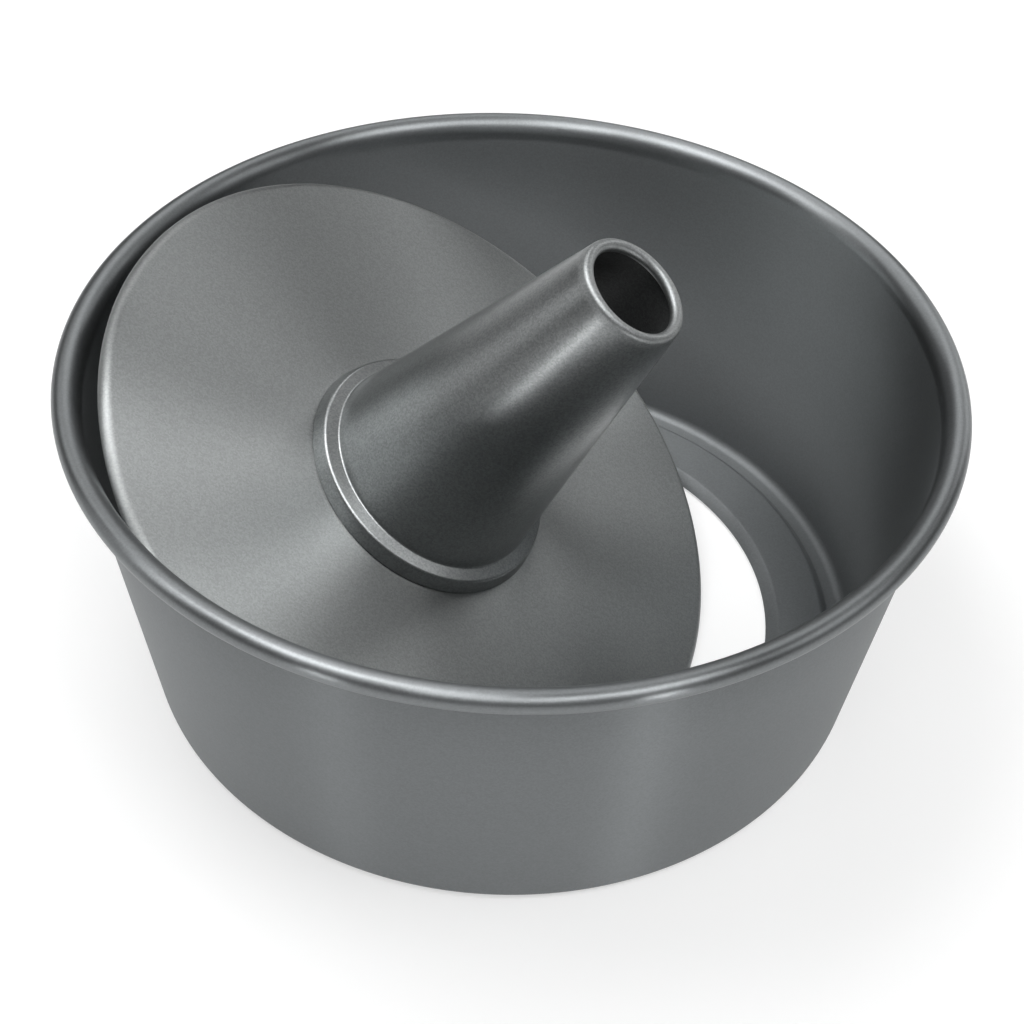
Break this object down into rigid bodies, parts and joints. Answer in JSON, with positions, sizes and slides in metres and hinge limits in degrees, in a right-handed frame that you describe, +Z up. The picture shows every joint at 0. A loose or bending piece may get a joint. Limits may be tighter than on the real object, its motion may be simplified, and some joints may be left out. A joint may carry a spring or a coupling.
{
  "type": "angel food cake pan",
  "caption": "Round tapered cake pan with a rolled rim and open ledged base, and its lift-out base plate with a tapered centre tube, which leans inside the pan.",
  "frame": {"origin": "centre of the outer pan's base, on the surface that it stands on", "axes": "+Z up along the outer pan's axis; the insert's tube leans mostly towards +X"},
  "size_m": [0.254, 0.254, 0.1503],
  "materials": {
    "grey_coating": "satin"
  },
  "bodies": {
    "root": {"outer_pan": "grey_coating", "base_plate": "grey_coating", "centre_tube": "grey_coating"}
  },
  "joints": []
}
